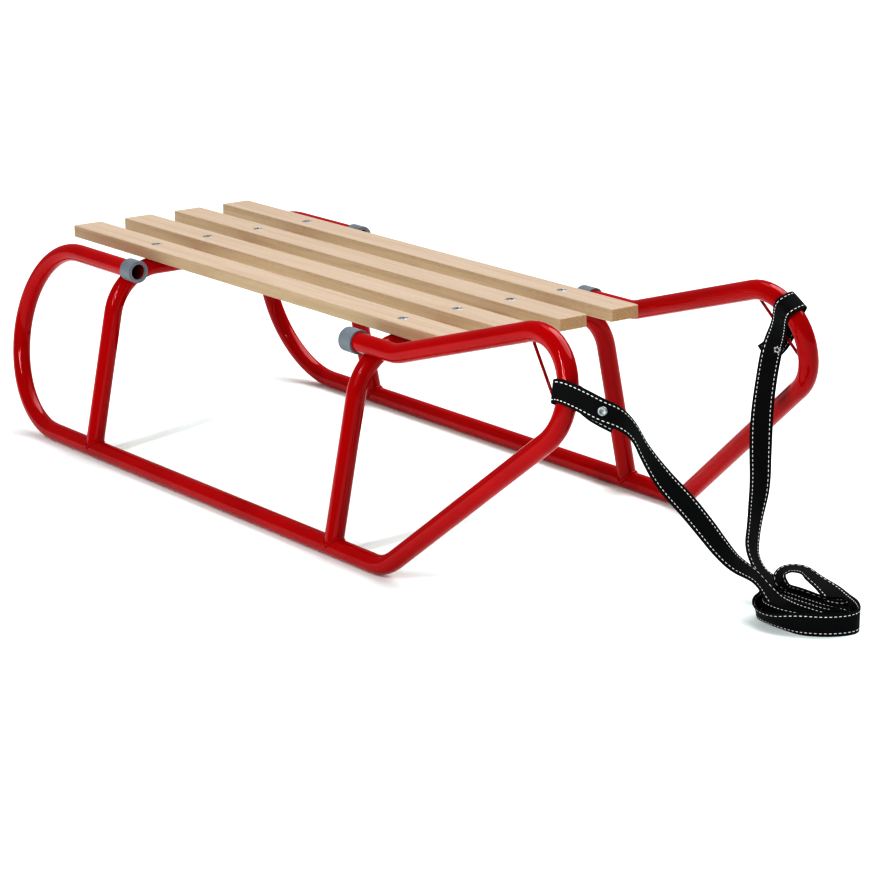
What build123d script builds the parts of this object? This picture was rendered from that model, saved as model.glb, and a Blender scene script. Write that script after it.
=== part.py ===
from build123d import *

import os
from math import cos, radians, sin, sqrt, tan

os.makedirs("parts", exist_ok=True)

# A sled of bent steel tube: two side frames, each one tube that makes runner, nose and seat rail, are welded
# to two arches that carry four beech slats. A webbing tow strap is riveted round both noses and lies coiled
# in front. +X is forwards, +Y is left, +Z is up, and the runners stand on Z = 0. Sizes are in millimetres.

# ---- tube ----
tube_diameter = 20.0
tube_wall = 1.5
bend_radius = 53.0  # centre line of the nose, the front foot and the kink where the rail leaves the seat
weld_gap = 0.2  # left between welded tubes for the bead

# ---- side frame, drawn in its own leaning plane, heights from the runner's centre line ----
sled_length = 993.0
half_track = 192.2  # from the sled's middle to a runner's centre line
lean_angle = 11.6  # the side frames lean in as they rise
nose_rise = 78.2  # from the rail beside the seat up to the corner where its slope meets the nose
rise_angle = 39.1  # of the tube from the runner up to the nose
nose_flat = 3.0  # straight between the two bends of the nose
rail_slope = 16.7  # the rail rises towards the nose

# ---- seat ----
seat_height = 230.4
rail_drop = 18.6  # from the slats' tops down to the centre line of the rail beside them
slat_count = 4
slat_length = 721.0
slat_width = 37.2
slat_thickness = 13.5
slat_pitch = 67.8
slat_rear_x = -449.7
slat_edge_radius = 1.5
slat_corner_radius = 3.0
rear_arch_x = -296.8
front_arch_x = 170.6

# ---- screws that hold the slats to the arches ----
screw_hole_diameter = 5.5
screw_head_diameter = 10.0
countersink_angle = 90.0

# ---- plastic sleeves on the four tube ends, which are open sockets ----
rear_socket_reach = 40.5  # from the rear arch forwards to the socket's mouth
front_socket_reach = 27.0  # from the front arch back to the socket's mouth
sleeve_length = 20.0
sleeve_wall = 2.4
sleeve_clearance = 0.1
sleeve_lip = 3.0
sleeve_rounding = 0.8

# ---- thin rod across each nose, which keeps the strap in place ----
rod_diameter = 3.0
rod_top_angle = 97.6  # where the rod's ends meet the nose bend, round the bend's centre
rod_foot_angle = -10.0

# ---- webbing tow strap ----
strap_width = 22.0
strap_thickness = 2.0
strap_slack = 0.4
loop_reach = 50.0  # from the tube's centre to where the two layers meet
right_wrap_angle = 13.0  # where the strap goes round the nose bend
left_wrap_angle = 50.0
right_run_gap = 4.3  # from each loop's tip to the middle of the run that goes on from it
left_run_gap = 2.4
coil_height = 24.0
right_run_end = (567, 8)  # where each run comes down on the coil, seen from above
left_run_end = (553, 46)
right_landing = coil_height + 8.6
left_landing = coil_height + 1.3
right_run = [  # (distance out, height)
    (22, 214),
    (40, 190),
    (60, 152),
    (82, 118),
    (104, 86),
    (126, 56),
    (150, right_landing),
]
left_run = [
    (24, 190),
    (40, 156),
    (55, 122),
    (70, 92),
    (88, 66),
    (108, 46),
    (130, 33),
    (148, left_landing),
]
coil_corners = [(554, -8), (640, -8), (668, 56), (606, 94), (552, 100), (536, 74), (540, 40)]
coil_rounding = 14.0
lobe_centre = (572, 78)
lobe_length = 56.0
lobe_width = 26.0
lobe_turn = 20.0
lobe_height = 34.0

# ---- worked out from the sizes above ----
tube_radius = tube_diameter / 2
bore_radius = tube_radius - tube_wall
rear_x = tube_radius - sled_length / 2
nose_x = sled_length / 2 - tube_radius
rail_height = (seat_height - rail_drop - tube_radius) / cos(radians(lean_angle))
rear_bend_radius = rail_height / 2
lower_tangent = bend_radius * tan(radians((90 - rise_angle) / 2))
upper_tangent = bend_radius * tan(radians((90 + rail_slope) / 2))
nose_top_height = rail_height + nose_rise
upper_bend_height = nose_top_height - upper_tangent
lower_bend_height = upper_bend_height - nose_flat
nose_foot_height = lower_bend_height - lower_tangent
foot_x = nose_x - nose_foot_height / tan(radians(rise_angle))
kink_x = nose_x - nose_rise / tan(radians(rail_slope))
rear_mouth_x = rear_arch_x + rear_socket_reach
front_mouth_x = front_arch_x - front_socket_reach
nose_inside = bend_radius - tube_radius
bend_sag = nose_inside - sqrt(nose_inside**2 - (strap_width / 2) ** 2)  # of the nose, under the strap
bar_height = seat_height - slat_thickness - tube_radius
shoulder_y = half_track - (bar_height - tube_radius) * tan(radians(lean_angle))
rail_y = half_track - rail_height * sin(radians(lean_angle))
rail_z = tube_radius + rail_height * cos(radians(lean_angle))
slat_places = [(place - (slat_count - 1) / 2) * slat_pitch for place in range(slat_count)]


def side_plane(side):
    """The plane of a side frame: side is -1 for the right one and 1 for the left one."""
    lean = radians(lean_angle)
    return Plane(
        origin=(0, side * half_track, tube_radius),
        x_dir=(1, 0, 0),
        z_dir=(0, -cos(lean), -side * sin(lean)),
    )


def tube_section(path):
    """The hollow section of the tube, drawn at the start of its path."""
    with BuildSketch(Plane(path ^ 0)) as section:
        Circle(tube_radius)
        Circle(bore_radius, mode=Mode.SUBTRACT)
    return section.sketch


def shoulder_radius():
    """Bend of an arch's shoulder, as large as lets it lie against the rail outside it."""
    half_corner = radians((90 + lean_angle) / 2)
    inward = Vector(-cos(half_corner), -sin(half_corner))
    offset = Vector(shoulder_y - rail_y, bar_height - rail_z)
    spread = 1 / sin(half_corner)
    reach = tube_diameter + weld_gap
    a = spread**2 - 1
    b = 2 * (spread * offset.dot(inward) - reach)
    c = offset.length**2 - reach**2
    return (sqrt(b**2 - 4 * a * c) - b) / (2 * a)


def nose_point(angle, radius, centre_height):
    """A point near the nose bend, in the side frame's plane, at an angle from straight ahead."""
    centre_x = nose_x - bend_radius
    return (centre_x + radius * cos(radians(angle)), centre_height + radius * sin(radians(angle)))


# ---- side frames: socket, rail, round rear bend, runner, front foot, nose, sloping rail, kink, socket ----
with BuildLine(side_plane(-1)) as outline:
    Line((rear_mouth_x - sleeve_lip, rail_height), (rear_x + rear_bend_radius, rail_height))
    CenterArc((rear_x + rear_bend_radius, rear_bend_radius), rear_bend_radius, 90, 180)
    FilletPolyline(
        (rear_x + rear_bend_radius, 0),
        (foot_x, 0),
        (nose_x, nose_foot_height),
        (nose_x, nose_top_height),
        (kink_x, rail_height),
        (front_mouth_x + sleeve_lip, rail_height),
        radius=bend_radius,
    )
with BuildPart() as side_frame_right:
    sweep(sections=tube_section(outline.line), path=outline.line)
with BuildPart() as side_frame_left:
    mirror(side_frame_right.part, about=Plane.XZ)
with BuildPart() as frame_outer:
    with BuildSketch(Plane(outline.line ^ 0)) as outer_section:
        Circle(tube_radius + weld_gap)
    sweep(path=outline.line)

side_frame_right.part.label = "side_frame_right"
side_frame_left.part.label = "side_frame_left"
export_step(side_frame_right.part, "parts/side_frame_right.step")
export_step(side_frame_left.part, "parts/side_frame_left.step")

# ---- arches: one tube each, from runner to runner, with its feet cut to sit on the runners ----
for name, arch_x in (("arch_rear", rear_arch_x), ("arch_front", front_arch_x)):
    arch_plane = Plane(origin=(arch_x, 0, 0), x_dir=(0, 1, 0), z_dir=(1, 0, 0))
    with BuildLine(arch_plane) as arch_line:
        FilletPolyline(
            (-half_track, tube_radius),
            (-shoulder_y, bar_height),
            (shoulder_y, bar_height),
            (half_track, tube_radius),
            radius=shoulder_radius(),
        )
    with BuildPart() as arch:
        sweep(sections=tube_section(arch_line.line), path=arch_line.line)
        with Locations((arch_x, -half_track, tube_radius), (arch_x, half_track, tube_radius)):
            Cylinder(tube_radius + weld_gap, 6 * tube_radius, rotation=(0, 90, 0), mode=Mode.SUBTRACT)
        with Locations([(arch_x, y, bar_height) for y in slat_places]):
            Cylinder(screw_hole_diameter / 2, 2 * tube_diameter, mode=Mode.SUBTRACT)
    arch.part.label = name
    export_step(arch.part, f"parts/{name}.step")

# ---- slats: beech, long edges rounded, screwed down to both arches through countersunk holes ----
for number, y in enumerate(slat_places, start=1):
    slat_middle = (slat_rear_x + slat_length / 2, y, seat_height - slat_thickness / 2)
    with BuildPart() as slat:
        with Locations(slat_middle):
            Box(slat_length, slat_width, slat_thickness)
        fillet(slat.edges().filter_by(Axis.Z), slat_corner_radius)
        fillet(slat.faces().filter_by(Axis.Z).edges(), slat_edge_radius)
        with Locations((rear_arch_x, y, seat_height), (front_arch_x, y, seat_height)):
            CounterSinkHole(
                screw_hole_diameter / 2,
                screw_head_diameter / 2,
                counter_sink_angle=countersink_angle,
            )
    slat.part.label = f"slat_{number}"
    export_step(slat.part, f"parts/slat_{number}.step")

# ---- sleeves: a plastic collar over each open tube end, with a lip whose hole is as wide as the bore ----
sleeve_bore = tube_radius + sleeve_clearance
sleeve_radius = sleeve_bore + sleeve_wall
for side_name, side in (("right", -1), ("left", 1)):
    for end_name, mouth_x, outwards in (("rear", rear_mouth_x, 1), ("front", front_mouth_x, -1)):
        mouth = side_plane(side).from_local_coords((mouth_x, rail_height, 0))
        with BuildPart() as sleeve:
            with BuildSketch(Plane(origin=mouth, z_dir=(-outwards, 0, 0))):
                Circle(sleeve_radius)
            extrude(amount=sleeve_length)
            with BuildSketch(Plane(origin=mouth, z_dir=(-outwards, 0, 0)).offset(sleeve_lip)):
                Circle(sleeve_bore)
            extrude(amount=sleeve_length - sleeve_lip, mode=Mode.SUBTRACT)
            with BuildSketch(Plane(origin=mouth, z_dir=(-outwards, 0, 0))):
                Circle(bore_radius)
            extrude(amount=sleeve_lip, mode=Mode.SUBTRACT)
            rims = sleeve.edges().filter_by(GeomType.CIRCLE).sort_by(SortBy.RADIUS)[-2:]
            fillet(rims, sleeve_rounding)
        sleeve.part.label = f"sleeve_{end_name}_{side_name}"
        export_step(sleeve.part, f"parts/sleeve_{end_name}_{side_name}.step")

# ---- strap rods: a thin rod across the inside of each nose, its ends cut to the tube ----
rod_top = Vector(*nose_point(rod_top_angle, nose_inside, upper_bend_height))
rod_foot = Vector(*nose_point(rod_foot_angle, nose_inside, lower_bend_height))
rod_overrun = (rod_top - rod_foot).normalized() * tube_radius / 2
rod_start = rod_top + rod_overrun
rod_end = rod_foot - rod_overrun
with BuildLine(side_plane(-1)) as rod_line:
    Line((rod_start.X, rod_start.Y), (rod_end.X, rod_end.Y))
with BuildPart() as strap_rod_right:
    with BuildSketch(Plane(rod_line.line ^ 0)):
        Circle(rod_diameter / 2)
    sweep(path=rod_line.line)
    add(frame_outer.part, mode=Mode.SUBTRACT)
with BuildPart() as strap_rod_left:
    mirror(strap_rod_right.part, about=Plane.XZ)
strap_rod_right.part.label = "strap_rod_right"
strap_rod_left.part.label = "strap_rod_left"
export_step(strap_rod_right.part, "parts/strap_rod_right.step")
export_step(strap_rod_left.part, "parts/strap_rod_left.step")

# ---- strap loops: the webbing goes round each nose tube and its two layers close in front of it ----
def wrap_plane(side, angle, centre_height, outwards):
    """Across the nose tube at an angle of its bend: X along the strap, Z along the tube."""
    frame_plane = side_plane(side)
    spot = frame_plane.from_local_coords((*nose_point(angle, bend_radius, centre_height), 0))
    across = outwards * cos(radians(angle))
    rise = outwards * sin(radians(angle))
    heading = frame_plane.x_dir * across + frame_plane.y_dir * rise
    return Plane(origin=spot, x_dir=heading, z_dir=heading.cross(frame_plane.z_dir))


right_wrap = wrap_plane(-1, right_wrap_angle, lower_bend_height, 1)
left_wrap = wrap_plane(1, left_wrap_angle, upper_bend_height, -1)
left_loop_bore = tube_radius + strap_slack
right_loop_bore = tube_radius + bend_sag + strap_slack / 2
loops = (
    ("strap_loop_right", right_wrap, right_loop_bore),
    ("strap_loop_left", left_wrap, left_loop_bore),
)
for name, plane, loop_bore in loops:
    with BuildPart() as loop:
        with BuildSketch(plane):
            Circle(loop_bore + strap_thickness)
            with Locations((loop_reach, 0)):
                Circle(strap_thickness)
            make_hull()
        extrude(amount=strap_width / 2, both=True)
        with BuildSketch(plane):
            Circle(loop_bore)
            with Locations((loop_reach - strap_thickness, 0)):
                Circle(strap_slack / 2)
            make_hull()
        extrude(amount=strap_width / 2, both=True, mode=Mode.SUBTRACT)
    loop.part.label = name
    export_step(loop.part, f"parts/{name}.step")

# ---- strap runs: from each loop down to the coil, each in its own upright plane ----
# The right one hangs with its broad side forwards, the left one lies back flat.


def run_radii(points):
    """The largest bends that a route allows: 0.45 of the shorter run at each corner."""
    radii = []
    for before, corner, after in zip(points, points[1:], points[2:]):
        way_in = Vector(*corner) - Vector(*before)
        way_out = Vector(*after) - Vector(*corner)
        half_turn = radians(way_in.get_angle(way_out)) / 2
        radii.append(0.45 * min(way_in.length, way_out.length) / tan(half_turn))
    return radii


right_start = right_wrap.from_local_coords((loop_reach + strap_thickness + right_run_gap, 0, 0))
left_start = left_wrap.from_local_coords((loop_reach + strap_thickness + left_run_gap, 0, 0))
runs = (
    ("strap_run_right", right_start, right_run_end, right_run, strap_width, strap_thickness),
    ("strap_run_left", left_start, left_run_end, left_run, strap_thickness, strap_width),
)
for name, start, end, route, depth, breadth in runs:
    ahead = Vector(end[0] - start.X, end[1] - start.Y, 0).normalized()
    run_plane = Plane(origin=(start.X, start.Y, 0), x_dir=ahead, z_dir=ahead.cross(Vector(0, 0, 1)))
    points = [(0, start.Z), *route]
    radii = run_radii(points)
    with BuildPart() as run:
        with BuildSketch(run_plane):
            with BuildLine() as run_line:
                FilletPolyline(*points, radius=radii)
            trace(line_width=depth)
        extrude(amount=breadth / 2, both=True)
    run.part.label = name
    export_step(run.part, f"parts/{name}.step")
    run_length = sum(edge.length for edge in run_line.edges())
    volume = run_length * depth * breadth
    print(name, "length", round(run_length, 1), "radii", [round(radius) for radius in radii])
    print(name, "start", start)
    print(name, "volume", round(run.part.volume), "section times length", round(volume))

# ---- coil: the outer shape of the strap's turns, with the loose lobe that stands up at the back ----
with BuildPart() as strap_coil:
    with BuildSketch() as coil_outline:
        with BuildLine():
            Polyline(*coil_corners, close=True)
        make_face()
        fillet(coil_outline.vertices(), coil_rounding)
    extrude(amount=coil_height)
    with BuildSketch() as lobe_outline:
        with Locations(Location((*lobe_centre, 0), (0, 0, lobe_turn))):
            Ellipse(lobe_length / 2, lobe_width / 2)
    extrude(amount=lobe_height)
strap_coil.part.label = "strap_coil"
export_step(strap_coil.part, "parts/strap_coil.step")
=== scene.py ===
# %% [markdown]
# # A steel-tube sled
#
# This notebook dresses a CAD model of a sled: two bent tube side frames, two arches, four beech slats, four
# plastic sleeves and a webbing tow strap. The solids are loaded as a fixed frame, in metres, and every piece
# made here is placed by that frame. +X is forwards, +Y is left and +Z is up.
#
# The tubes, slats and sleeves already have their true shape, so they only need a finish. A solid is no good
# for a soft strap with stitches, a screw with a cross in its head or a bead of weld, so those are made here.

# %% Load the frame
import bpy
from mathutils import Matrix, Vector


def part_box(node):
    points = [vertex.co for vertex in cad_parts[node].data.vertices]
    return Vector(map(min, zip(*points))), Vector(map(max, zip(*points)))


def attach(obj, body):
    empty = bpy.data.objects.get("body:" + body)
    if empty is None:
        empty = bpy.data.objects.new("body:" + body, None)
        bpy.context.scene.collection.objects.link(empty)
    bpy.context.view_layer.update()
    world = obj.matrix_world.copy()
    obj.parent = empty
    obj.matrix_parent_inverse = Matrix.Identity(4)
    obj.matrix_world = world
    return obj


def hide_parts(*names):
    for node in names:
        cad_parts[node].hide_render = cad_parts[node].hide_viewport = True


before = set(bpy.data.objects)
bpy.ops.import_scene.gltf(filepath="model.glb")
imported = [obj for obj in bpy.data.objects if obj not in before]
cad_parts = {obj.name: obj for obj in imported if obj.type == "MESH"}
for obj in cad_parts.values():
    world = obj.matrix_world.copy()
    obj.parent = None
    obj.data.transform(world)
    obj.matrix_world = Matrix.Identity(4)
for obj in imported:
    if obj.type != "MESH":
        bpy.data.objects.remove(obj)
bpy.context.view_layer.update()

from collections import namedtuple
from math import cos, pi, radians, sin, sqrt

import bmesh
import bpy
from mathutils import Matrix, Vector

MM = 0.001

# %% [markdown]
# ## The camera
# The sled is seen from in front, from its right and a little above. A camera can be placed freely and turned
# by hand, but then every change of place spoils the aim. Here it swings about the point that it looks at, so
# angle and distance can be set one at a time. A long lens from three metres away keeps both runners nearly
# parallel.

# %% Camera
LOOK_AT = Vector((0.0086, 0.0559, 0.0478))
LOOK_FROM = 3.2517  # metres back from the point looked at
AZIMUTH, ELEVATION, ROLL = radians(53.439), radians(15.374), radians(-0.546)
turn = Matrix.Rotation(AZIMUTH, 4, "Z") @ Matrix.Rotation(pi / 2 - ELEVATION, 4, "X")
turn = turn @ Matrix.Rotation(ROLL, 4, "Z")
lens = bpy.data.cameras.new("camera")
lens.lens, lens.sensor_width = 124.14, 36.0
lens.clip_end = 60.0
camera = bpy.data.objects.new("camera", lens)
camera.matrix_world = Matrix.Translation(LOOK_AT) @ turn @ Matrix.Translation((0, 0, LOOK_FROM))
bpy.context.scene.collection.objects.link(camera)
bpy.context.scene.camera = camera
print("camera at", [round(value, 3) for value in camera.matrix_world.translation])

# %% [markdown]
# ## The route of the tow strap
# The strap is one length of 22 mm webbing. It is riveted round the right nose, hangs down to a small loose
# coil in front of the sled, and rises again to the left nose. A soft strap could be simulated, but it lies
# in one particular way here, so its route is a smooth spline of listed points. Each point carries
# the way the strap's width faces: an angle off upright, or a direction where it grips a tube or folds over.

# %% Where the strap grips and where its coil lies
STRAP_WIDTH = 22 * MM
STRAP_THICKNESS = 1.8 * MM
COIL_AT = Vector((615.5, 31.5, 0)) * MM
COIL_ALONG = Vector((0.864, 0.503, 0))
COIL_BACK = Vector((-0.503, 0.864, 0))
RIGHT_TUBE, RIGHT_UP = Vector((485.1, -147.6, 227.1)) * MM, Vector((-0.225, 0.196, 0.954))
RIGHT_OUT, RIGHT_SIDE = Vector((0.974, 0.045, 0.220)), Vector((0, -0.980, 0.201))
LEFT_TUBE, LEFT_UP = Vector((467.6, 141.3, 258.1)) * MM, Vector((-0.766, -0.129, 0.630))
LEFT_OUT, LEFT_SIDE = Vector((-0.643, 0.154, -0.750)), Vector((0, -0.980, -0.201))
WRAP_REACH = 11.2 * MM  # from a tube's centre line to the middle of the webbing round it
print("coil at", tuple(round(value, 4) for value in COIL_AT))


# %% Points on the floor, in the air and round a tube
def on_floor(along, back, height, lean=0):
    """A point of the coil, in millimetres along and behind its middle, and its lean off upright."""
    return (COIL_AT + MM * (COIL_ALONG * along + COIL_BACK * back + Vector((0, 0, height))), lean)


def facing(along, back, up):
    """A direction by the coil's own axes, for the width of the webbing."""
    return COIL_ALONG * along + COIL_BACK * back + Vector((0, 0, up))


def in_air(x, y, z, lean=0):
    """A point in millimetres from the sled's origin, and its lean off upright."""
    return (Vector((x, y, z)) * MM, lean)


def round_tube(tube, out, side, upward):
    """Front, two corners and back of the webbing where it goes round a nose tube."""
    corners = ((0, 1), (-1, 1), (-1, -1), (0, -1))
    return [(tube + WRAP_REACH * (out * ahead + side * aside), upward) for ahead, aside in corners]


print("a point on the floor", on_floor(0, 0, STRAP_WIDTH / MM / 2))

# %% [markdown]
# ## From the right nose down to the coil
# The strap's loose end shows behind the rivet, so the route starts there, goes back round the tube and comes
# out in front, over its own end. The end could be left hidden, but it is what shows that the strap is riveted
# and not sewn. Each point round the tube is sunk a little more than the one before, because the strap pulls
# down there. The run then turns slowly on edge as it nears the floor, as webbing does when it is pulled into
# a coil.

# %% Right end and right run
TAIL_UP = Vector((0.2, 0.36, 0.9))
WRAP_SINKS = (4.5, 3.5, 1.5, 0)  # millimetres
right_end = [
    in_air(532.5, -129.5, 204.5, TAIL_UP),
    in_air(522, -139, 211, TAIL_UP),
    in_air(505, -140, 215, RIGHT_UP),
]
backwards = reversed(round_tube(RIGHT_TUBE, RIGHT_OUT, RIGHT_SIDE, RIGHT_UP))
right_end += [(place - RIGHT_UP * sink * MM, way) for (place, way), sink in zip(backwards, WRAP_SINKS)]
right_run = [
    in_air(507, -151.5, 224, RIGHT_UP),
    in_air(527, -143.2, 216, Vector((0.16, 0.36, 0.92))),
    in_air(536, -128.5, 208.5, 30),
    in_air(537, -112, 194, 36),
    in_air(537.5, -99.5, 171, 40),
    in_air(544, -81.5, 142.5, 21),
    in_air(550.5, -60.5, 118.5, 12),
    in_air(556, -41.5, 93.5, 14),
    in_air(559.5, -28.5, 75.5, 20),
    in_air(563, -15, 59, 27),
    on_floor(-61, 1, 47, 48),
    on_floor(-52, 7, 39.5, 68),
    on_floor(-43, 9, 29, facing(0.1, 1, 0)),
    on_floor(-31, 4, 19, facing(0, 0.9, 0.3)),
    on_floor(-16, -5, 13, facing(0, 0.5, 0.85)),
]
print("right end", len(right_end), "points, right run", len(right_run))

# %% [markdown]
# ## The inner turns of the coil
# Most of the coil is hidden inside its own outer turn. Its turns follow each other round the same long loop,
# so they can be worked out: a loop shrinks the outer turn towards a line along its middle, a little less
# with each turn. A plain spiral would be round, and this coil is long and flat on one side.

# %% Inner turns
COIL_TURN = [
    (-50, 14), (-49.5, 1), (-43, -11), (-32, -20), (-20, -26), (-7, -29), (6, -30), (18, -28.5), (31, -24),
    (42, -16), (47, -6), (43, 3), (31, 7), (18, 10), (6, 16), (-8, 22.5), (-22, 30), (-36, 34.5), (-47, 31),
    (-51, 22),
]
TURN_SPACING = 8.4
INNER_TURNS = 2
FIRST_INNER_POINT = 7  # where the right run has come down into the coil
EDGE_HEIGHT = 11  # webbing that stands on its edge has its middle at half its width
SPINE_START, SPINE_END = Vector((-32, 13)), Vector((25, -8))


def coil_turns(turns):
    """Points of a spiral that grows outwards to COIL_TURN, in millimetres along and behind."""
    for step in range(turns * len(COIL_TURN)):
        outer = Vector(COIL_TURN[step % len(COIL_TURN)])
        spine = SPINE_END - SPINE_START
        share = max(0.0, min(1.0, (outer - SPINE_START).dot(spine) / spine.length_squared))
        inward = (SPINE_START + spine * share) - outer
        shrink = TURN_SPACING * (turns - step / len(COIL_TURN))
        yield outer + inward.normalized() * shrink


inner_turns = [
    on_floor(point.x, point.y, EDGE_HEIGHT) for point in list(coil_turns(INNER_TURNS))[FIRST_INNER_POINT:]
]
print("inner turns", len(inner_turns), "points")

# %% [markdown]
# ## The turns of the coil that show
# The outer turn leans outwards at the front, where it has slipped down. It then climbs over the others into
# a loop that stands open at the back, folds under itself and dips into the coil before it leaves for the left
# nose. No rule gives that, so every point is given one by one, with its height and with the way the webbing
# faces.

# %% Outer turn, open loop and the way out
outer_turn = [
    (-50, 14, 10.5), (-49.5, 1, 10.5, -10), (-43, -11, 9.5, -34), (-32, -20, 9, -42), (-20, -26, 9.3, -38),
    (-7, -29, 10.3, -18), (6, -30, 11), (18, -28.5, 11), (31, -24, 11), (43, -16, 11, 2), (50, -6, 11, 4),
    (50, 4, 11.5), (43, 12, 13, -20), (35, 20, 14.5, -42), (24, 31, 16.5, -62),
]
open_loop = [
    (13, 42, 20, facing(0, 0.93, 0.37)), (3, 49, 23.5, facing(0, 0.95, 0.25)),
    (-7, 52, 28, facing(0.1, 0.98, 0.12)), (-16, 54, 33.5, facing(-0.15, 0.96, 0.2)),
    (-24, 49.5, 37, facing(-0.69, 0.71, 0.15)), (-30.5, 41, 38, facing(-0.82, 0.58, 0)),
    (-33.5, 32, 36.5, facing(-0.84, 0.45, -0.3)), (-33.5, 26, 32.5, facing(-0.62, 0.45, -0.64)),
    (-29.5, 25, 29, facing(-0.3, 0.64, -0.72)), (-23, 24.5, 24.8, facing(0, 0.77, -0.63)),
    (-14, 23, 23.5, facing(0, 0.74, -0.68)), (-4, 21, 22, facing(-0.1, 0.71, -0.67)),
    (6, 22, 18, facing(-0.35, 0.65, -0.65)), (16, 25, 13, facing(-0.2, 0.3, -0.9)),
]
way_out = [
    (27, 28.5, 11, 180), (33, 22.5, 11, 180), (27, 17, 11, 180), (16, 19.5, 11, 180), (3, 25, 11, 180),
    (-12, 32, 11, facing(0, -0.8, -0.6)), (-25, 38.5, 11.5, facing(0, -0.87, -0.5)),
    (-37, 44.5, 16.5, facing(0, -0.92, -0.4)), (-49.5, 50, 22, facing(0, -1, -0.2)), (-62.5, 55, 30, 68),
]
shown_turns = [on_floor(*place) for place in (*outer_turn, *open_loop, *way_out)]
print("turns that show", len(shown_turns), "points")

# %% [markdown]
# ## From the coil up to the left nose
# The second run leaves the coil on edge and turns to face the sled before it goes over the left nose. It
# could mirror the right run, but it hangs more steeply and grips its tube higher up, so it has points of its
# own.

# %% Left run and left end
left_run = [
    in_air(518, 52, 43, 44),
    in_air(503.5, 67, 55, 30),
    in_air(489.6, 82.7, 70, 34),
    in_air(479, 98, 92, 60),
    in_air(467.8, 107.5, 122, 76),
    in_air(457, 118.6, 158, 96),
    in_air(448, 133, 192, 96),
    in_air(440.1, 146, 212.8, Vector((-0.766, -0.35, 0.3))),
    in_air(455, 141, 236, LEFT_UP),
]
left_end = [
    *round_tube(LEFT_TUBE, LEFT_OUT, LEFT_SIDE, LEFT_UP),
    in_air(457, 152.5, 238, LEFT_UP),
    in_air(441, 152.5, 214.5, Vector((-0.7, -0.3, 0.6))),
    in_air(425, 150, 203, Vector((-0.6, -0.3, 0.7))),
]
strap_route = [*right_end, *right_run, *inner_turns, *shown_turns, *left_run, *left_end]
print("strap control points", len(strap_route))

# %% [markdown]
# ## Reading the spline
# A strap has no corners. Its points could be joined by straight runs and arcs, but a NURBS spline is smooth
# wherever its control points are, so Blender does the rounding. Two splines are read with the same settings:
# the strap's middle, and one edge of it. The difference between them, made square to the middle's direction,
# is the way the webbing's width faces at each station.

# %% Read a spline
SPLINE_STEPS = 12  # between one control point and the next


def spline_points(points):
    """Points along a NURBS spline that has these control points."""
    curve = bpy.data.curves.new("route", "CURVE")
    curve.dimensions = "3D"
    spline = curve.splines.new("NURBS")
    spline.points.add(len(points) - 1)
    for target, point in zip(spline.points, points):
        target.co = (*point, 1.0)
    spline.order_u = 3
    spline.use_endpoint_u = True
    spline.resolution_u = SPLINE_STEPS
    holder = bpy.data.objects.new("route", curve)
    mesh = bpy.data.meshes.new_from_object(holder)
    read = [vertex.co.copy() for vertex in mesh.vertices]
    bpy.data.objects.remove(holder)
    bpy.data.curves.remove(curve)
    bpy.data.meshes.remove(mesh)
    return read


middle = spline_points([place for place, _ in strap_route])
print("points read", len(middle))


# %% The way the width faces
def square_to(direction, way):
    """The part of a way that is square to a direction, one metre long."""
    return (way - direction * way.dot(direction)).normalized()


def width_ways(route):
    """For each control point, the way the strap's width faces, square to its direction."""
    ways = []
    for index, (place, lean) in enumerate(route):
        before = route[max(index - 1, 0)][0]
        after = route[min(index + 1, len(route) - 1)][0]
        heading = (after - before).normalized()
        if isinstance(lean, Vector):
            ways.append(square_to(heading, lean))
            continue
        upright = square_to(heading, Vector((0, 0, 1)))
        leftwards = upright.cross(heading).normalized()
        ways.append(upright * cos(radians(lean)) + leftwards * sin(radians(lean)))
    return ways


control_ways = width_ways(strap_route)
edge = spline_points([place + way * STRAP_WIDTH / 2 for (place, _), way in zip(strap_route, control_ways)])
print("edge points read", len(edge))

# %% Stations along the strap
Station = namedtuple("Station", "along middle heading way face")
stations = []
travelled = 0.0
for index, (place, rim) in enumerate(zip(middle, edge)):
    before = middle[max(index - 1, 0)]
    after = middle[min(index + 1, len(middle) - 1)]
    if index:
        travelled += (place - before).length
    heading = (after - before).normalized()
    way = square_to(heading, rim - place)
    stations.append(Station(travelled, place, heading, way, heading.cross(way)))


def nearest_station(point, among=range(len(stations))):
    return min(among, key=lambda index: (stations[index].middle - point).length)


first = nearest_station(RIGHT_TUBE + RIGHT_SIDE * WRAP_REACH)
last = nearest_station(LEFT_TUBE + LEFT_SIDE * WRAP_REACH)
free_length = stations[last].along - stations[first].along
print("stations", len(stations), "whole", round(travelled, 3), "between noses", round(free_length, 3))

# %% [markdown]
# ## The webbing itself
# Woven webbing is a thin band with soft rounded edges. A flat strip would look like paper, and a bevelled
# curve can't twist as webbing does, so its section is a slim closed ring of points, set up anew at each
# station. Two values stay with each corner of a face, how far along and how far across it is, so the weave
# can follow the strap wherever it goes.


# %% Make an object from a mesh
def new_piece(name, shape):
    """Turns mesh data being edited into an object that rides on the sled's only body."""
    bmesh.ops.recalc_face_normals(shape, faces=shape.faces)
    mesh = bpy.data.meshes.new(name)
    shape.to_mesh(mesh)
    shape.free()
    made = bpy.data.objects.new(name, mesh)
    bpy.context.scene.collection.objects.link(made)
    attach(made, "root")
    return made


def strap_section():
    """Across and through, in metres, once round the webbing."""
    half, deep = STRAP_WIDTH / 2, STRAP_THICKNESS / 2
    rise = [(-0.97, 0.55), (-0.9, 0.92), (-0.6, 1.0), (-0.2, 1.0)]
    top = [*rise, *[(-across, through) for across, through in reversed(rise)]]
    ring = [(-1.0, 0.0), *top, (1.0, 0.0), *[(across, -through) for across, through in reversed(top)]]
    return [(across * half, through * deep) for across, through in ring]


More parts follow.
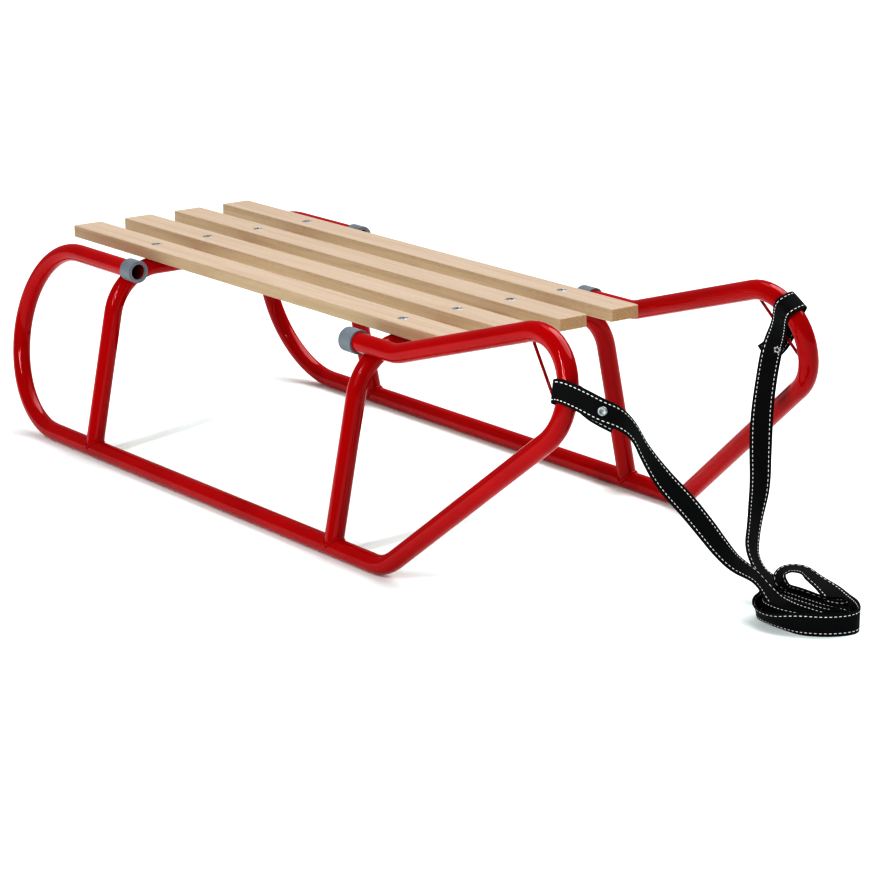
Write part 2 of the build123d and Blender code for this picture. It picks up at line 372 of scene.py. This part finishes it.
SECTION = strap_section()
print("points round the webbing", len(SECTION))


# %% Webbing
def webbing(name, start, end):
    """A piece of the strap between two stations."""
    shape = bmesh.new()
    weave = shape.loops.layers.uv.new("weave")
    part = stations[start : end + 1]
    rings = []
    for _, place, _, way, face in part:
        rings.append([shape.verts.new(place + way * across + face * through) for across, through in SECTION])
    for here, there, ring, after in zip(part, part[1:], rings, rings[1:]):
        for column in range(len(SECTION)):
            beside = (column + 1) % len(SECTION)
            quad = shape.faces.new((ring[column], after[column], after[beside], ring[beside]))
            quad.smooth = True
            spots = ((here, column), (there, column), (there, beside), (here, beside))
            for loop, (station, spot) in zip(quad.loops, spots):
                loop[weave].uv = (station.along / STRAP_WIDTH, SECTION[spot][0] / STRAP_WIDTH + 0.5)
    shape.faces.new(rings[0])
    shape.faces.new(reversed(rings[-1]))
    return new_piece(name, shape)


tow_strap = webbing("tow_strap", first, last)
strap_end_right = webbing("strap_end_right", 0, first)
strap_end_left = webbing("strap_end_left", last, len(stations) - 1)
strap_pieces = [tow_strap, strap_end_right, strap_end_left]
print("webbing faces", sum(len(piece.data.polygons) for piece in strap_pieces))

# %% [markdown]
# ## White edge stitching
# A row of thread runs 3 mm inside each edge, and shows on both faces. Painting it on would leave it flat at
# a glancing angle, so each visible stitch is a small raised grain of thread that follows the webbing. Its
# ends are drawn in where the needle went down.

# %% Between two stations
STITCH_PITCH = 4.5 * MM
STITCH_LENGTH = 2.8 * MM
STITCH_WIDTH = 1.1 * MM
STITCH_RISE = 0.35 * MM
STITCH_SINK = 0.05 * MM
STITCH_ROWS = (-8 * MM, 8 * MM)
STITCH_RINGS = ((-0.5, 0.35), (-0.38, 0.85), (0.0, 1.0), (0.38, 0.85), (0.5, 0.35))
STITCH_ARC = 5
FIRST_STITCH = 0.3  # of a pitch in from the strap's end


def station_at(distance):
    """Middle, width way and face way at a distance along the strap."""
    low, high = 0, len(stations) - 1
    while high - low > 1:
        half = (low + high) // 2
        if stations[half].along <= distance:
            low = half
        else:
            high = half
    before, after = stations[low], stations[high]
    share = (distance - before.along) / max(after.along - before.along, 1e-9)
    place, _, way, face = [one.lerp(other, share) for one, other in zip(before[1:], after[1:])]
    return place, way.normalized(), face.normalized()


print("halfway along", tuple(round(value, 3) for value in station_at(travelled / 2)[0]))


# %% Stitches
def add_stitch(shape, distance, row, side):
    """One grain of thread on a face of the webbing, in a row off its middle."""
    rings = []
    for along, size in STITCH_RINGS:
        place, way, face = station_at(distance + along * STITCH_LENGTH)
        centre = place + way * row + face * side * STRAP_THICKNESS / 2
        ring = []
        for step in range(STITCH_ARC):
            angle = pi * step / (STITCH_ARC - 1)
            across = way * cos(angle) * STITCH_WIDTH / 2 * size
            rise = face * side * (sin(angle) * STITCH_RISE * size - STITCH_SINK)
            ring.append(shape.verts.new(centre + across + rise))
        rings.append(ring)
    for ring, after in zip(rings, rings[1:]):
        for column in range(STITCH_ARC - 1):
            quad = shape.faces.new((ring[column], ring[column + 1], after[column + 1], after[column]))
            quad.smooth = True
    shape.faces.new(rings[0])
    shape.faces.new(rings[-1])


stitch_shape = bmesh.new()
stitch_count = int((travelled - STITCH_LENGTH) / STITCH_PITCH)
for number in range(stitch_count):
    for row in STITCH_ROWS:
        for side in (-1, 1):
            add_stitch(stitch_shape, STITCH_LENGTH / 2 + (number + FIRST_STITCH) * STITCH_PITCH, row, side)
strap_stitches = new_piece("strap_stitches", stitch_shape)
print("stitches", 4 * stitch_count, "faces", len(strap_stitches.data.polygons))

# %% [markdown]
# ## Rivets
# Each loop is closed by one tubular rivet, and the two are set opposite ways round: the right one shows its
# head, a low ring of steel round a dish, and the left one its rolled tail, which has split into petals. Two
# discs would do from afar, but a rivet catches a small bright ring of light, so each is a profile turned
# round its axis, through both layers of webbing, as on a lathe.

# %% Rivet profiles
RIVET_HEAD = [  # radius and height, in millimetres
    (0.0, 1.15), (1.4, 1.2), (2.2, 1.4), (2.8, 1.75), (3.3, 1.8), (3.9, 1.45), (4.4, 0.9), (4.6, 0.5),
    (4.5, 0.1), (1.4, 0.0), (1.4, -3.8), (3.8, -3.9), (4.0, -4.3), (3.2, -4.9), (1.6, -5.2), (0.9, -4.9),
    (0.0, -4.7),
]
RIVET_TAIL = [
    (0.0, -2.6), (1.0, -2.5), (1.2, 0.3), (1.7, 1.3), (2.4, 1.5), (3.1, 1.2), (3.7, 0.6), (4.0, 0.1),
    (1.4, 0.0), (1.4, -3.8), (4.4, -3.9), (4.6, -4.4), (3.9, -5.2), (2.4, -5.7), (0.0, -5.9),
]
PETALS = 5
PETAL_DEPTH = 0.22
PETAL_FROM = 0.1  # the height from which the tail is split
LATHE_TURNS = 40
print("rivet heights", [max(height for _, height in profile) for profile in (RIVET_HEAD, RIVET_TAIL)])


# %% Turning on a lathe
def skin(shape, rings, smooth=True):
    """Joins each ring of points to the next with faces. A ring of one point is a pole."""
    for ring, after in zip(rings, rings[1:]):
        count = max(len(ring), len(after))
        for step in range(count):
            beside = (step + 1) % count
            if len(ring) == 1:
                corners = (ring[0], after[step], after[beside])
            elif len(after) == 1:
                corners = (ring[step], after[0], ring[beside])
            else:
                corners = (ring[step], after[step], after[beside], ring[beside])
            shape.faces.new(corners).smooth = smooth


def lathe(name, profile, place, axis, petals=0):
    """Turns a profile of (radius, height) round an axis. Petals are the splits of a spread tail."""
    axis = axis.normalized()
    first_way = axis.orthogonal().normalized()
    second_way = axis.cross(first_way)
    shape = bmesh.new()
    rings = []
    for radius, height in profile:
        centre = place + axis * height * MM
        if radius == 0:
            rings.append([shape.verts.new(centre)])
            continue
        depth = PETAL_DEPTH if petals and height > PETAL_FROM else 0
        ring = []
        for step in range(LATHE_TURNS):
            angle = 2 * pi * step / LATHE_TURNS
            reach = MM * radius * (1 + depth * cos(petals * angle))
            ring.append(shape.verts.new(centre + reach * (first_way * cos(angle) + second_way * sin(angle))))
        rings.append(ring)
    skin(shape, rings)
    return new_piece(name, shape)


RIVETS = (  # name, profile, place, how far off the webbing's middle, petals
    ("rivet_right", RIVET_HEAD, Vector((528.8, -142.7, 215.4)) * MM, 0.0, 0),
    ("rivet_left", RIVET_TAIL, Vector((442.6, 149.6, 214.6)) * MM, -5.6 * MM, PETALS),
)
rivets = []
for name, profile, point, offset, petals in RIVETS:
    _, place, _, way, face = stations[nearest_station(point, range(first, last + 1))]
    if face.dot(camera.matrix_world.translation - place) < 0:  # the side of the webbing that shows
        face = -face
    spot = place + way * offset + face * STRAP_THICKNESS / 2
    rivets.append(lathe(name, profile, spot, face, petals))
print("rivets at", [tuple(round(value, 4) for value in rivet.data.vertices[0].co) for rivet in rivets])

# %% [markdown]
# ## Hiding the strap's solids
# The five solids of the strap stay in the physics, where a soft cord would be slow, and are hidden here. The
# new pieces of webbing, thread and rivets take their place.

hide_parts("strap_run_right", "strap_run_left", "strap_coil")
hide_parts("strap_loop_right")
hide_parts("strap_loop_left")
print("strap declared,", round(free_length, 2), "m")

# %% [markdown]
# ## Materials as expressions
# A finish is a tree of nodes. Wiring it by hand hides the idea behind links, so a socket is wrapped in a
# small class that knows Python's operators: `1 - mask` adds the Math node that does it. Colours never go
# through it, because a Math node turns them grey. They go through `mix`.


# %% Wires
class Wire:
    """An output socket of a finish. Arithmetic on it adds Math nodes."""

    def __init__(self, finish, socket):
        self.finish, self.socket = finish, socket

    def math(self, operation, *values):
        return self.finish.node("Math", {"operation": operation}, dict(enumerate(values)))

    def __add__(self, other):
        return self.math("ADD", self, other)

    __radd__ = __add__

    def __sub__(self, other):
        return self.math("SUBTRACT", self, other)

    def __rsub__(self, other):
        return self.math("SUBTRACT", other, self)

    def __mul__(self, other):
        return self.math("MULTIPLY", self, other)

    __rmul__ = __mul__

    def __abs__(self):
        return self.math("ABSOLUTE", self)

    def wave(self):
        return self.math("SINE", self)

    def smooth(self, low, high):
        """0 below low, 1 above high, and a soft step between them."""
        settings = {"interpolation_type": "SMOOTHSTEP"}
        return self.finish.node("MapRange", settings, {"Value": self, "From Min": low, "From Max": high})


print("a wire knows + - * abs, wave and smooth")


# %% Finishes
class Finish:
    """A material whose nodes are made by one method."""

    def __init__(self, name, **fixed):
        self.material = bpy.data.materials.new(name)
        self.material.use_nodes = True
        self.tree = self.material.node_tree
        self.tree.nodes.clear()
        self.shader = self.tree.nodes.new("ShaderNodeBsdfPrincipled")
        output = self.tree.nodes.new("ShaderNodeOutputMaterial")
        self.tree.links.new(self.shader.outputs[0], output.inputs["Surface"])
        for socket, value in fixed.items():
            self.set(socket.replace("_", " "), value)

    def join(self, socket, value):
        if isinstance(value, Wire):
            self.tree.links.new(value.socket, socket)
        elif isinstance(value, tuple) and len(value) == 3 and socket.type == "RGBA":
            socket.default_value = (*value, 1.0)
        else:
            socket.default_value = value

    def set(self, socket, value):
        self.join(self.shader.inputs[socket], value)

    def node(self, kind, settings=(), inputs=(), output=0):
        """Adds a node, sets its settings, then the values or wires of its sockets."""
        made = self.tree.nodes.new("ShaderNode" + kind)
        for setting, value in dict(settings).items():
            setattr(made, setting, value)
        for socket, value in dict(inputs).items():
            self.join(made.inputs[socket], value)
        return Wire(self, made.outputs[output])

    def place(self, scale=(1, 1, 1)):
        """Position on the sled in metres, stretched by a scale."""
        where = self.node("TexCoord", output="Object")
        return self.node("VectorMath", {"operation": "MULTIPLY"}, {0: where, 1: scale})

    def axis(self, vector, letter):
        return self.node("SeparateXYZ", (), {0: vector}, output=letter)

    def noise(self, where, scale=1.0, detail=2.0, roughness=0.5, distortion=0.0):
        inputs = {"Scale": scale, "Detail": detail, "Roughness": roughness, "Distortion": distortion}
        return self.node("TexNoise", {"noise_dimensions": "3D"}, {"Vector": where, **inputs})

    def mix(self, share, first_colour, second_colour):
        inputs = {0: share, 6: first_colour, 7: second_colour}
        return self.node("Mix", {"data_type": "RGBA"}, inputs, output=2)

    def bump(self, height, depth):
        """Depth in metres for a height of 1."""
        self.set("Normal", self.node("Bump", (), {"Height": height, "Distance": depth, "Strength": 1.0}))

    def done(self):
        print(self.material.name, len(self.tree.nodes), "nodes")
        return self.material


def dress(piece, material):
    piece.data.materials.clear()
    piece.data.materials.append(material)


print("finishes are ready to mix")

# %% [markdown]
# ## Red powder coat
# Powder is sprayed on and baked, so it flows into a thick glossy skin with a faint orange peel. The colour
# is nearly even, a little deeper where the coat is thick. One glossy shader would turn pink under the lamps.
# A clear coat over a dull red base gives the sharp long highlights along the tubes, while the base stays
# saturated. The thin rods across the noses get the same coat in a darker red.


# %% Powder coat
def powder_coat(name, bright, deep):
    coat = Finish(name, Specular_IOR_Level=0.0, Coat_Weight=1.0, Coat_IOR=1.36, Coat_Roughness=0.03)
    where = coat.place()
    cloud = coat.noise(where, scale=9.0, detail=3.0)
    peel = coat.noise(where, scale=420.0)
    coat.set("Base Color", coat.mix(cloud.smooth(0.3, 0.75), bright, deep))
    coat.set("Roughness", 0.27 + 0.08 * coat.noise(where, scale=60.0))
    coat.bump(peel, 0.02 * MM)
    return coat.done()


powder = powder_coat("red_powder_coat", (0.40, 0.0008, 0.004), (0.34, 0.0006, 0.003))
rod_powder = powder_coat("red_rod_coat", (0.30, 0.002, 0.006), (0.22, 0.001, 0.004))

# %% [markdown]
# ## Planed beech
# Beech is pale and even, with fine lengthwise growth lines and thousands of short dark ray flecks. Rings
# seen on a flat-sawn face are long stretched loops, which could be cut from one block of ring-shaped waves.
# Noise that changes quickly across the slat and slowly along it is simpler, and it never repeats. The tops
# are a pinkish cream. The planed sides are a darker, warmer copy, which is painted shade for faces that get
# less light. The sawn ends show open pores, and their darker colour is partly real end grain and partly
# painted shade. So the face's own direction picks between three pairs of colours.

# %% Beech
RING_COUNT = 46.0  # waves from the darkest to the lightest noise
BEECH_TOP = (0.505, 0.412, 0.325), (0.425, 0.325, 0.240)
# Painted shade: the sides' colours are a darker copy of the tops' for faces that get less light.
BEECH_SIDE_PAINTED_SHADE = (0.475, 0.365, 0.250), (0.385, 0.282, 0.183)
# The ends' colours are end grain's own darker tone with painted shade added.
BEECH_END_GRAIN_AND_SHADE = (0.58, 0.40, 0.24), (0.42, 0.26, 0.145)
BEECH_FLECK = (0.38, 0.23, 0.13)


def planed_beech():
    wood = Finish("planed_beech", IOR=1.45)
    broad = wood.noise(wood.place((1.4, 26.0, 26.0)), detail=3.0, distortion=0.4)
    lines = wood.noise(wood.place((5.0, 420.0, 420.0)), detail=4.0, roughness=0.65)
    flecks = wood.noise(wood.place((170.0, 1500.0, 1500.0)), detail=1.0).smooth(0.63, 0.72)
    pores = wood.noise(wood.place((900.0, 900.0, 900.0)))
    tone = 0.42 + 0.12 * (broad * RING_COUNT).wave() + 1.2 * (lines - 0.5)
    tone = tone.smooth(0.1, 1.0)
    normal = wood.node("NewGeometry", output="Normal")
    # Painted shade: the face's direction picks the darker colours for the sides and the ends.
    end_grain_and_shade_mask, shaded_side_mask = (abs(wood.axis(normal, letter)).smooth(0.6, 0.95) for letter in "XY")
    colour = wood.mix(shaded_side_mask, wood.mix(tone, *BEECH_TOP), wood.mix(tone, *BEECH_SIDE_PAINTED_SHADE))
    colour = wood.mix(0.38 * flecks, colour, BEECH_FLECK)
    colour = wood.mix(end_grain_and_shade_mask, colour, wood.mix(pores.smooth(0.35, 0.7), *BEECH_END_GRAIN_AND_SHADE))
    wood.set("Base Color", colour)
    wood.set("Roughness", 0.5 + 0.12 * lines)
    wood.bump(lines * 0.7 - 0.5 * flecks, 0.07 * MM)
    return wood.done()


beech = planed_beech()

# %% [markdown]
# ## Black webbing and white thread
# The webbing is black polyester: ribs run across it and chains of yarn along it, slanted where they cross.
# Every yarn could be modelled, but at a millimetre each they would be a hundred thousand threads, so three
# waves over the webbing's own measures, along and across, give the height of the weave. The same height
# paints shade into the colour: the weave's hollows are painted darker and its crests lighter. The
# thread is off-white and slightly soft, and its twist is fine noise.

# %% Webbing and thread
RIBS = STRAP_WIDTH / (1.15 * MM)  # ribs along one width of the strap
CHAINS = 14  # chains across the strap


def woven_black():
    weave = Finish("woven_black", Specular_IOR_Level=0.12, Sheen_Weight=0.02, Sheen_Roughness=0.5, IOR=1.45)
    spot = weave.node("UVMap", {"uv_map": "weave"})
    along, across = weave.axis(spot, "X"), weave.axis(spot, "Y")
    rib = (along * (2 * pi * RIBS)).wave()
    chain = (across * (2 * pi * CHAINS)).wave()
    skew = (along * (pi * RIBS) + across * (2 * pi * CHAINS)).wave()
    fuzz = weave.noise(weave.place(), scale=2600.0)
    height = 0.5 + 0.22 * rib + 0.18 * chain + 0.15 * skew + 0.25 * (fuzz - 0.5)
    # Painted shade: the colour is darker in the weave's hollows and lighter on its crests.
    painted_weave_shade = (0.005, 0.005, 0.0055), (0.030, 0.030, 0.032)
    weave.set("Base Color", weave.mix(height.smooth(0.15, 0.95), *painted_weave_shade))
    weave.set("Roughness", 0.62 + 0.15 * fuzz)
    weave.bump(height, 0.18 * MM)
    return weave.done()


def white_thread():
    thread = Finish("white_thread", Sheen_Weight=0.2, Sheen_Roughness=0.5)
    ply = thread.noise(thread.place(), scale=2200.0)
    thread.set("Base Color", thread.mix(ply.smooth(0.3, 0.7), (0.82, 0.81, 0.79), (0.70, 0.69, 0.67)))
    thread.set("Roughness", 0.6 + 0.1 * ply)
    thread.bump(ply, 0.1 * MM)
    return thread.done()


black_webbing = woven_black()
for piece in strap_pieces:
    dress(piece, black_webbing)
dress(strap_stitches, white_thread())

# %% [markdown]
# ## Moulded plastic and zinc
# The sleeves are grey moulded plastic, whose mould was spark-eroded to a fine even grain. Screws and rivets
# are bright zinc, a metal whose crystals scatter the light unevenly. Both could be one flat colour each,
# but small parts are looked at closely, so the grain is in the bump and the crystals are in the roughness.


# %% Plastic and zinc
def moulded_grey():
    plastic = Finish("moulded_grey", IOR=1.46)
    where = plastic.place()
    cloud = plastic.noise(where, scale=40.0)
    plastic.set("Base Color", plastic.mix(cloud.smooth(0.3, 0.7), (0.205, 0.225, 0.25), (0.17, 0.19, 0.215)))
    plastic.set("Roughness", 0.42 + 0.1 * plastic.noise(where, scale=300.0))
    plastic.bump(plastic.noise(where, scale=1600.0), 0.05 * MM)
    return plastic.done()


def bright_zinc():
    metal = Finish("bright_zinc", Metallic=1.0)
    crystals = metal.noise(metal.place(), scale=700.0, detail=3.0)
    metal.set("Base Color", metal.mix(crystals.smooth(0.3, 0.7), (0.50, 0.52, 0.53), (0.34, 0.36, 0.38)))
    metal.set("Roughness", 0.34 + 0.2 * crystals)
    metal.bump(crystals, 0.02 * MM)
    return metal.done()


grey_plastic, zinc = moulded_grey(), bright_zinc()
for piece in rivets:
    dress(piece, zinc)

# %% [markdown]
# ## The CAD pieces
# The tubes, slats, sleeves and rods already have their true shape, so they only get their finishes. Nineteen
# lines would do it, one a piece. The family that a name starts with does it in six, and a new slat would be
# dressed without a new line.

# %% Dress the CAD nodes
FAMILIES = {
    "side_frame": powder,
    "arch": powder,
    "slat": beech,
    "sleeve": grey_plastic,
    "strap_rod": rod_powder,
    "strap_": black_webbing,
}
for name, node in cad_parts.items():
    dress(node, next(FAMILIES[family] for family in FAMILIES if name.startswith(family)))
print("dressed", sorted(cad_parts))

# %% [markdown]
# ## Welds
# Each arch stands on the runners, and a bead of weld holds each foot there. A bead is a small rope of metal
# with overlapping ripples, under the same powder. A ring laid flat on the runner would float off it at both
# sides, so the bead is swept along the line where the two tubes really meet, which is worked out from their
# radii.

# %% Weld beads
TUBE_RADIUS = 10.0
BEAD_RADIUS = 1.9 * MM
BEAD_SIDES = 10
RIPPLE = 0.12


def bead(name, points):
    """A closed rope of weld metal through points in metres, rippled along its length."""
    shape = bmesh.new()
    centre = sum(points, Vector()) / len(points)
    rings = []
    for index, point in enumerate(points):
        heading = (points[(index + 1) % len(points)] - points[index - 1]).normalized()
        outward = square_to(heading, point - centre)
        side = heading.cross(outward)
        size = BEAD_RADIUS * (1 + RIPPLE * abs(sin(pi * index / 4)))
        ring = []
        for step in range(BEAD_SIDES):
            angle = 2 * pi * step / BEAD_SIDES
            ring.append(shape.verts.new(point + size * (outward * cos(angle) + side * sin(angle))))
        rings.append(ring)
    skin(shape, rings + rings[:1])
    made = new_piece(name, shape)
    dress(made, powder)
    return made


def meeting_line(start, heading, runner_y, steps=72):
    """Where a tube with this centre line comes down on the runner: points in millimetres."""
    first_way = Vector((1, 0, 0))
    second_way = heading.cross(first_way)
    down = Vector((heading.y, heading.z))
    line = []
    for step in range(steps):
        angle = 2 * pi * step / steps
        wall = start + TUBE_RADIUS * (first_way * cos(angle) + second_way * sin(angle))
        offset = Vector((wall.y - runner_y, wall.z - TUBE_RADIUS))
        nearing, beyond = offset.dot(down), offset.length_squared - TUBE_RADIUS**2
        reach = -nearing - sqrt(max(nearing * nearing - down.length_squared * beyond, 0.0))
        line.append(wall + heading * reach / down.length_squared)
    return line


# %% Weld the arches' feet
HALF_TRACK = 192.2
LEAN = radians(11.6)
LEG = 60  # millimetres up the leg, from where the meeting line is worked out


def arch_middle(name):
    """How far forwards an arch stands, in metres."""
    low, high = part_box(name)
    return (low[0] + high[0]) / 2


welds = []
for name in ("arch_rear", "arch_front"):
    for side_name, side in (("right", -1), ("left", 1)):
        foot = Vector((arch_middle(name) / MM, side * HALF_TRACK, TUBE_RADIUS))
        upward = Vector((0, -side * sin(LEAN), cos(LEAN)))
        line = meeting_line(foot + upward * LEG, -upward, side * HALF_TRACK)
        welds.append(bead(f"weld_{name}_foot_{side_name}", [point * MM for point in line]))
print("welds", [weld.name for weld in welds])

# %% [markdown]
# ## Slat screws
# Each slat is held to both arches by a countersunk screw with a slightly domed head and a cross recess. The
# cross could be cut with a boolean, which leaves long thin faces that shade badly. Instead the head is a disc
# of fine rings whose height is lowered inside the cross, so the recess has real walls that catch the light.
# No two screws are driven home alike, so each cross has its own turn.

# %% The cross recess
HEAD_RADIUS = 6.4
HEAD_DOME = 0.9
HEAD_SINK = 0.1 * MM  # of its rim, below the slat's top
CROSS_HALF_WIDTH = 1.15
CROSS_REACH = 4.1
CROSS_DEPTH = 3.0
WALL_SLOPE = 0.18  # how far the recess's walls lean, in millimetres
TIP_SLOPE = 0.9  # how far its four tips run out


def cross_depth(x, y):
    """How far the recess goes down at a point of the head, in millimetres."""
    depth = 0.0
    for along, across in ((abs(x), abs(y)), (abs(y), abs(x))):
        inside = min(1.0, max(0.0, (CROSS_HALF_WIDTH - across) / WALL_SLOPE + 0.5))
        reach = min(1.0, max(0.0, (CROSS_REACH - along) / TIP_SLOPE))
        depth = max(depth, inside * reach)
    return CROSS_DEPTH * depth


print("recess at the middle", cross_depth(0, 0), "mm")

# %% Screws
SCREW_TURNS, SCREW_RINGS = 96, 26
SHANK = ((HEAD_RADIUS - 0.15, -0.35), (2.9, -3.3), (2.4, -32.0), (2.0, -33.0))
SHANK_TIP = -33.0
CROSS_TURNS = (0.2, 1.1, 0.6, 0.0, 0.9, 0.4, 1.3, 0.7)  # how each cross came to rest, in radians


def slat_screw(name, place, cross_turn):
    """A screw from its head's middle out to the rim, and down its shank to the tip."""
    shape = bmesh.new()
    rings = [[shape.verts.new(place + Vector((0, 0, -cross_depth(0, 0))) * MM)]]
    head = [(HEAD_RADIUS * step / SCREW_RINGS, None) for step in range(1, SCREW_RINGS + 1)]
    for radius, depth in (*head, *SHANK):
        ring = []
        for step in range(SCREW_TURNS):
            angle = 2 * pi * step / SCREW_TURNS
            height = depth
            if depth is None:
                height = HEAD_DOME * (1 - (radius / HEAD_RADIUS) ** 2)
                height -= cross_depth(radius * cos(angle), radius * sin(angle))
            turned = angle + cross_turn
            point = Vector((radius * cos(turned), radius * sin(turned), height))
            ring.append(shape.verts.new(place + point * MM))
        rings.append(ring)
    rings.append([shape.verts.new(place + Vector((0, 0, SHANK_TIP)) * MM)])
    skin(shape, rings, smooth=False)
    made = new_piece(name, shape)
    dress(made, zinc)


screw_places = [(arch, number) for arch in ("arch_rear", "arch_front") for number in range(1, 5)]
for (arch, number), cross_turn in zip(screw_places, CROSS_TURNS):
    low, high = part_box(f"slat_{number}")
    top = Vector((arch_middle(arch), (low[1] + high[1]) / 2, high[2] - HEAD_SINK))
    slat_screw(f"screw_{arch}_{number}", top, cross_turn)
print("screws", len(screw_places))

# %% [markdown]
# ## The floor
# The sled stands on a white sweep that is lit so brightly that only the shadows close to the runners are
# left on it. A floor can't be brighter than the lamps make it without washing the sled out as well, so it
# glows a little by itself, like a light table. It leans towards green-blue, because red light from the tubes
# falls into their shadows and would turn them pink.

# %% Floor
FLOOR_REACH = 15.0
floor_shape = bmesh.new()
bmesh.ops.create_grid(floor_shape, x_segments=2, y_segments=2, size=FLOOR_REACH)
floor_mesh = bpy.data.meshes.new("floor")
floor_shape.to_mesh(floor_mesh)
floor_shape.free()
floor = bpy.data.objects.new("floor", floor_mesh)
bpy.context.scene.collection.objects.link(floor)

floor_finish = Finish("white_floor", Roughness=0.9, Specular_IOR_Level=0.1)
floor_finish.set("Emission Color", (0.85, 1, 1))
floor_finish.set("Emission Strength", 0.055)
floor_cloud = floor_finish.noise(floor_finish.place(), scale=2.0)
floor_finish.set("Base Color", floor_finish.mix(floor_cloud, (0.865, 0.93, 0.925), (0.855, 0.92, 0.915)))
dress(floor, floor_finish.done())

# %% [markdown]
# ## The light
# The main light is soft and comes from above and behind, from the sled's left, so the shadows fall a little
# towards the viewer. It is a sun with a very wide disc, because a sun lights near and far parts alike. One
# large lamp in front would show as a broad grey sheen on every tube. Two narrow strip lamps show as thin
# bright lines instead, as gloss paint does in a studio, and one wide lamp overhead opens up the slats.


# %% Lamps
def soft_lamp(name, place, aim, size, power):
    lamp = bpy.data.lights.new(name, "AREA")
    lamp.shape = "RECTANGLE"
    lamp.size, lamp.size_y = size
    lamp.energy = power
    holder = bpy.data.objects.new(name, lamp)
    holder.location = place
    holder.rotation_euler = (Vector(aim) - Vector(place)).to_track_quat("-Z", "Y").to_euler()
    bpy.context.scene.collection.objects.link(holder)


soft_lamp("strip_right", (0.35, -2.1, 1.5), aim=(0, 0, 0.1), size=(0.024, 1.3), power=17)
soft_lamp("strip_thin", (1.1, -2.2, 1.7), aim=(0, 0, 0.1), size=(0.016, 1.3), power=9)
soft_lamp("top", (-0.6, 0.7, 2.6), aim=(0, 0, 0), size=(1.8, 1.2), power=8)
sun = bpy.data.lights.new("sky", "SUN")
sun.energy, sun.angle = 1.8, radians(58)
sky = bpy.data.objects.new("sky", sun)
sky.rotation_euler = Vector((0.05, -0.70, -1.0)).to_track_quat("-Z", "Y").to_euler()
bpy.context.scene.collection.objects.link(sky)
print("lamps", len(bpy.data.lights))

# %% [markdown]
# ## The room and the look
# Walls would reflect in the paint, so the room is plain white air, dim enough to leave the undersides dark.
# Saturated red fades under a film-like view, and black webbing turns grey in it. The standard view with very
# high contrast keeps both, and lets the floor go to clean white.

# %% Room and look
ROOM_LIGHT = 0.24
world = bpy.data.worlds.new("room")
world.use_nodes = True
background = world.node_tree.nodes["Background"]
background.inputs["Color"].default_value = (1, 1, 1, 1)
background.inputs["Strength"].default_value = ROOM_LIGHT
bpy.context.scene.world = world
bpy.context.scene.view_settings.view_transform = "Standard"
bpy.context.scene.view_settings.look = "Very High Contrast"
print("look", bpy.context.scene.view_settings.look)
